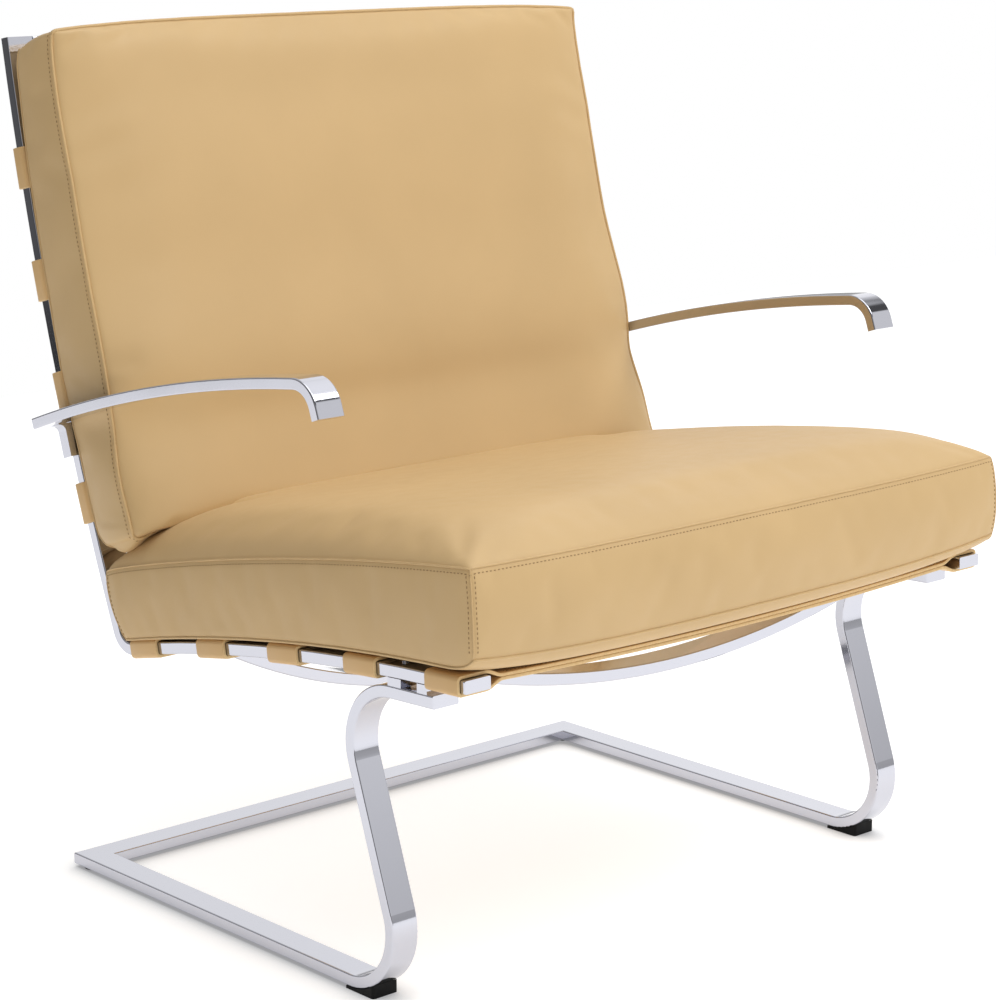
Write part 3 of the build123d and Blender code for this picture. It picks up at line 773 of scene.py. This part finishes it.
def band_stitches(name, at, off_dir, half, slack):
    """Rows of stitches on both faces, where the layers are sewn together beside the rails."""
    along = Vector((1, 0, 0))
    lift = LAYER + BAND_STITCH_LIFT
    rows = []
    for sign in (1, -1):
        for face in (1, -1):
            for row in (1, -1):
                across = row * (half - BAND_STITCH_INSET)
                x = JOIN - BAND_STITCH_START
                while x > JOIN - BAND_STITCH_END:
                    spot = at(sign * x, face * lift - slack * sag(x), across)
                    rows.append((spot, along, off_dir * face))
                    x -= BAND_STITCH_PITCH
    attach(stitches(name, rows), "root")


def band(name, node, origin, run_dir, width, slack=0.0):
    """Closed strip round both rails; run_dir points along them, slack is its share of the sag."""
    off_dir = Vector((0, -run_dir.z, run_dir.y))

    def at(x, off, across):
        return origin + Vector((x * MM, 0, 0)) + off_dir * (off * MM) + run_dir * (across * MM)

    path = band_path()
    half = width / 2
    section = band_section(half)
    count, size = len(path), len(section)
    verts, faces, looks = [], [], []
    for index, (x, off) in enumerate(path):
        before, after = path[index - 1], path[(index + 1) % count]
        step = Vector((after[0] - before[0], after[1] - before[1])).normalized()
        out = Vector((-step.y, step.x))
        for across, lift in section:
            px, po = x + out.x * lift, off + out.y * lift
            verts.append(at(px, po - slack * sag(px), across))
    for index in range(count):
        here, there = index * size, (index + 1) % count * size
        for side in range(size):
            after = (side + 1) % size
            faces.append((here + side, there + side, there + after, here + after))
            middle = (section[side][0] + section[after][0]) / 2
            looks.append(1 if abs(middle) > half - EDGE_ROUND * CUT_EDGE else 0)
    obj = mesh_object(name, verts, faces, ["strap", "strap_edge"], face_mats=looks)
    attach(obj, "root")
    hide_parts(node)
    band_stitches(name + "_stitches", at, off_dir, half, slack)


def middle_of(node):
    low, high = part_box(node)
    return (low.y + high.y) / 2, (low.z + high.z) / 2


def make_bands():
    for number in range(1, SEAT_BAND_COUNT + 1):
        node = f"seat_strap_{number}"
        y, z = middle_of(node)
        slope = -RAIL_SLOPE - 2 * RAIL_CURVE * ((y - ZERO_Y) / MM)
        run = Vector((0, 1, slope)).normalized()
        band(f"seat_band_{number}", node, Vector((0, y, z)), run, SEAT_BAND_WIDTH, slack=1.0)
    for number in range(1, BACK_BAND_COUNT + 1):
        node = f"back_strap_{number}"
        y, z = middle_of(node)
        lean = BACK_LEAN - 2 * BACK_CURVE * (z / MM)
        run = Vector((0, lean, 1)).normalized()
        band(f"back_band_{number}", node, Vector((0, y, z)), run, BACK_BAND_WIDTH)


for trim in [*make_seat(), *make_back()]:
    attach(trim, "root")
make_bands()


# ---- Studio ----

FLOOR = (-4.5, 4.5, -6.0, 2.62)  # left, right, front, rear in metres
FLOOR_GLOW = 0.68
PAINTED_SHADOW_REACH = 0.035  # metres from the chair within which a contact shadow is painted into the floor's colour and glow
# Painted contact shadow: darkest below the first stop, gone above the second, in this grey.
PAINTED_SHADOW_FULL, PAINTED_SHADOW_GONE = 0.35, 0.97
PAINTED_SHADOW_GREY = (0.42, 0.42, 0.43, 1)

# Brightness of the surround, as stops of (part of the direction from -1 to 1, brightness)
FRONT_BY_HEIGHT = (
    (-1, 0.5), (0, 0.5), (0.10, 0.55), (0.22, 0.9), (0.42, 0.9),
    (0.50, 0.9), (0.53, 0.1), (0.64, 0.1), (0.68, 1.2), (1, 1.5),
)
REAR_BY_HEIGHT = (
    (-1, 0.05), (-0.19, 0.05), (-0.12, 0.4), (0.02, 0.4), (0.10, 0.7), (0.18, 1.2), (1, 1.3),
)
FRONT_TO_REAR = ((-1, 0.0), (0.05, 0.0), (0.5, 1.0), (1, 1.0))
LEFT_TO_RIGHT = ((-1, 0.15), (-0.6, 0.42), (-0.3, 0.42), (0.25, 0.85), (0.5, 1.0), (1, 1.05))
UP, BEHIND, RIGHT = (0, 0, 1), (0, 1, 0), (0.95, -0.30, 0)

LENS, SENSOR = 102.22, 36.0
CAMERA_PLACE = (-1.9046, -2.3661 + ZERO_Y, 1.0080)
CAMERA_AIM = (0.6564, 0.7229, -0.2160)


def area_light(name, location, target, size, energy):
    light = bpy.data.lights.new(name, "AREA")
    light.shape = "RECTANGLE"
    light.size, light.size_y = size
    light.energy = energy
    obj = bpy.data.objects.new(name, light)
    bpy.context.scene.collection.objects.link(obj)
    obj.location = location
    aim = Vector(target) - Vector(location)
    obj.rotation_euler = aim.to_track_quat("-Z", "Y").to_euler()


def ramp_of(tree, source, stops):
    """Grey ramp over a number from -1 to 1."""
    span = tree.nodes.new("ShaderNodeMapRange")
    span.inputs["From Min"].default_value = -1.0
    tree.links.new(source, span.inputs["Value"])
    ramp = tree.nodes.new("ShaderNodeValToRGB")
    tree.links.new(span.outputs["Result"], ramp.inputs["Fac"])
    elements = ramp.color_ramp.elements
    elements[0].position, elements[1].position = 0.0, 1.0
    for position, _ in stops[1:-1]:
        elements.new((position + 1) / 2)
    for stop, (_, value) in zip(sorted(elements, key=lambda e: e.position), stops):
        stop.color = (value, value, value, 1)
    return ramp.outputs["Color"]


def mixed(tree, kind, factor, a, b):
    mix = tree.nodes.new("ShaderNodeMix")
    mix.data_type = "RGBA"
    mix.blend_type = kind
    if isinstance(factor, float):
        mix.inputs["Factor"].default_value = factor
    else:
        tree.links.new(factor, mix.inputs["Factor"])
    tree.links.new(a, mix.inputs["A"])
    tree.links.new(b, mix.inputs["B"])
    return mix.outputs["Result"]


def towards(tree, direction, source):
    """How far the surround's direction points a given way, from -1 to 1."""
    dot = tree.nodes.new("ShaderNodeVectorMath")
    dot.operation = "DOT_PRODUCT"
    dot.inputs[1].default_value = direction
    tree.links.new(source, dot.inputs[0])
    return dot.outputs["Value"]


def make_floor():
    """Pale floor with a glow of its own; a contact shadow is painted into both close to the chair."""
    left, right, front, rear = FLOOR
    corners = [(left, front, 0), (right, front, 0), (right, rear, 0), (left, rear, 0)]
    mesh = bpy.data.meshes.new("floor")
    mesh.from_pydata(corners, [], [(0, 1, 2, 3)])
    floor = bpy.data.objects.new("floor", mesh)
    bpy.context.scene.collection.objects.link(floor)
    mat = material("floor", Roughness=0.9, Specular_IOR_Level=0.0, Emission_Strength=FLOOR_GLOW)
    tree = mat.node_tree
    shader = tree.nodes["Principled BSDF"]
    vary(mat, noise(mat, scale=0.6), "Base Color", (0.57, 0.57, 0.57), (0.61, 0.61, 0.61))
    tint = shader.inputs["Base Color"].links[0].from_socket
    # Painted shadow: an occlusion node darkens the floor's colour and its glow close to the chair.
    painted_shadow_ao = tree.nodes.new("ShaderNodeAmbientOcclusion")
    painted_shadow_ao.samples = 16
    painted_shadow_ao.inputs["Distance"].default_value = PAINTED_SHADOW_REACH
    dark = tree.nodes.new("ShaderNodeValToRGB")
    dark.color_ramp.elements[0].position = PAINTED_SHADOW_FULL
    dark.color_ramp.elements[0].color = PAINTED_SHADOW_GREY
    dark.color_ramp.elements[1].position = PAINTED_SHADOW_GONE
    tree.links.new(painted_shadow_ao.outputs["AO"], dark.inputs["Fac"])
    tint_with_painted_shadow = mixed(tree, "MULTIPLY", 1.0, tint, dark.outputs["Color"])
    tree.links.new(tint_with_painted_shadow, shader.inputs["Base Color"])
    tree.links.new(dark.outputs["Color"], shader.inputs["Emission Color"])
    mesh.materials.append(mat)


def make_studio():
    """Soft surround, brightest overhead and to the right, with a dark band high in front and dark
    below the horizon behind the chair; rays straight from the camera meet a white backdrop."""
    world = bpy.data.worlds.new("studio")
    bpy.context.scene.world = world
    world.use_nodes = True
    tree = world.node_tree
    surround = tree.nodes["Background"]
    coords = tree.nodes.new("ShaderNodeTexCoord").outputs["Generated"]
    height = towards(tree, UP, coords)
    front = ramp_of(tree, height, FRONT_BY_HEIGHT)
    rear = ramp_of(tree, height, REAR_BY_HEIGHT)
    behind = ramp_of(tree, towards(tree, BEHIND, coords), FRONT_TO_REAR)
    across = ramp_of(tree, towards(tree, RIGHT, coords), LEFT_TO_RIGHT)
    light = mixed(tree, "MULTIPLY", 1.0, mixed(tree, "MIX", behind, front, rear), across)
    tree.links.new(light, surround.inputs["Color"])
    backdrop = tree.nodes.new("ShaderNodeBackground")
    backdrop.inputs["Color"].default_value = (1, 1, 1, 1)
    path = tree.nodes.new("ShaderNodeLightPath")
    choose = tree.nodes.new("ShaderNodeMixShader")
    tree.links.new(path.outputs["Is Camera Ray"], choose.inputs["Fac"])
    tree.links.new(surround.outputs["Background"], choose.inputs[1])
    tree.links.new(backdrop.outputs["Background"], choose.inputs[2])
    tree.links.new(choose.outputs["Shader"], tree.nodes["World Output"].inputs["Surface"])
    area_light("key", location=(1.2, -2.0, 3.2), target=(0, 0, 0.5), size=(1.8, 1.4), energy=42)
    area_light("top", location=(-0.2, -0.4, 3.3), target=(0, 0, 0.3), size=(2.0, 2.0), energy=19)


def make_camera():
    data = bpy.data.cameras.new("camera")
    data.sensor_width = SENSOR
    data.lens = LENS
    data.clip_start, data.clip_end = 0.05, 200
    camera = bpy.data.objects.new("camera", data)
    bpy.context.scene.collection.objects.link(camera)
    camera.location = CAMERA_PLACE
    camera.rotation_euler = Vector(CAMERA_AIM).to_track_quat("-Z", "Y").to_euler()
    bpy.context.scene.camera = camera


make_floor()
make_studio()
make_camera()
bpy.context.scene.view_settings.view_transform = "Standard"
